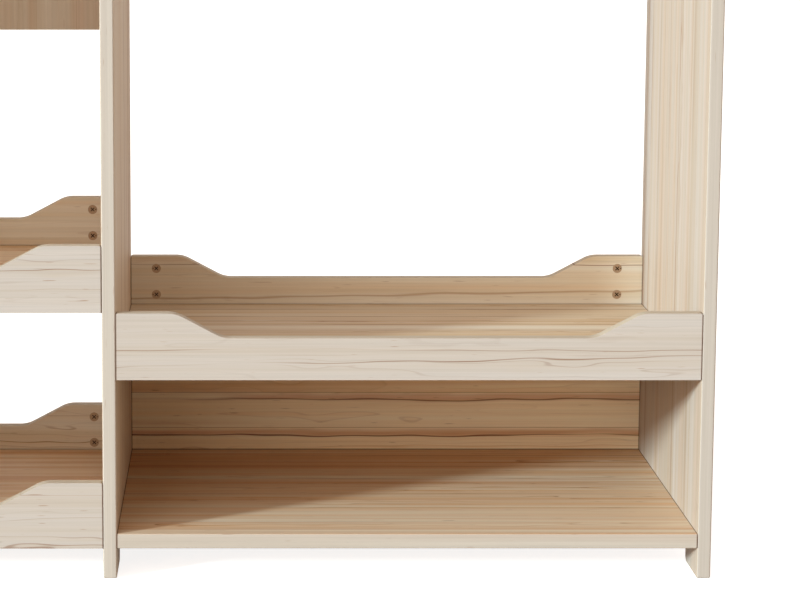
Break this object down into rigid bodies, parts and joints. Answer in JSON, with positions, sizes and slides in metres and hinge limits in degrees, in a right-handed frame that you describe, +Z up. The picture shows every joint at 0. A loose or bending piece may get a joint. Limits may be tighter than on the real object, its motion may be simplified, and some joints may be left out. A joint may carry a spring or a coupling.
{
  "type": "dress up storage unit",
  "caption": "Open wooden children's dress-up unit: hanging bay with shelf and scalloped tray, narrow bay with trays and a mirror, boards joined with cam locks.",
  "frame": {"origin": "middle of the footprint, on the floor", "axes": "+X to the hanging bay's side, -Y to the front, +Z up"},
  "size_m": [1.114, 0.45, 1.1],
  "materials": {
    "pine_panel": "satin clear lacquer on edge-glued pine",
    "pine_board": "satin clear lacquer on edge-glued pine",
    "pine_rail": "satin clear lacquer on solid pine",
    "turned_pine": "satin clear lacquer on a turned rod",
    "beech": "raw fluted dowel",
    "hardboard": "raw hardboard",
    "acrylic_mirror": "polished",
    "cam_zinc": "die-cast, bright zinc",
    "plated_steel": "zinc plated"
  },
  "bodies": {
    "root": {"left_panel": "pine_panel", "middle_panel": "pine_panel", "right_panel": "pine_panel", "bottom_shelf": "pine_board", "lower_back_panel": "pine_board", "tray_board": "pine_board", "tray_front_rail": "pine_rail", "tray_back_rail": "pine_rail", "side_base_board": "pine_board", "side_base_front_rail": "pine_rail", "side_base_back_rail": "pine_rail", "side_tray_board": "pine_board", "side_tray_front_rail": "pine_rail", "side_tray_back_rail": "pine_rail", "top_rail": "pine_rail", "hanging_rail": "turned_pine", "hanging_rail_screws": "plated_steel", "mirror_board": "pine_panel", "mirror_pane": "acrylic_mirror", "mirror_backing": "hardboard", "mirror_clips": "plated_steel", "mirror_clip_screws": "plated_steel", "bottom_shelf_cams": "cam_zinc", "lower_back_panel_cams": "cam_zinc", "tray_front_rail_cams": "cam_zinc", "tray_back_rail_cams": "cam_zinc", "side_base_front_rail_cams": "cam_zinc", "side_base_back_rail_cams": "cam_zinc", "side_tray_front_rail_cams": "cam_zinc", "side_tray_back_rail_cams": "cam_zinc", "top_rail_cams": "cam_zinc", "mirror_board_cams": "cam_zinc", "bottom_shelf_bolts": "plated_steel", "lower_back_panel_bolts": "plated_steel", "tray_rail_bolts": "plated_steel", "side_base_rail_bolts": "plated_steel", "side_tray_rail_bolts": "plated_steel", "top_rail_bolts": "plated_steel", "mirror_board_bolts": "plated_steel", "bottom_shelf_dowels": "beech", "tray_dowels": "beech", "side_base_dowels": "beech", "side_tray_dowels": "beech"}
  },
  "joints": []
}
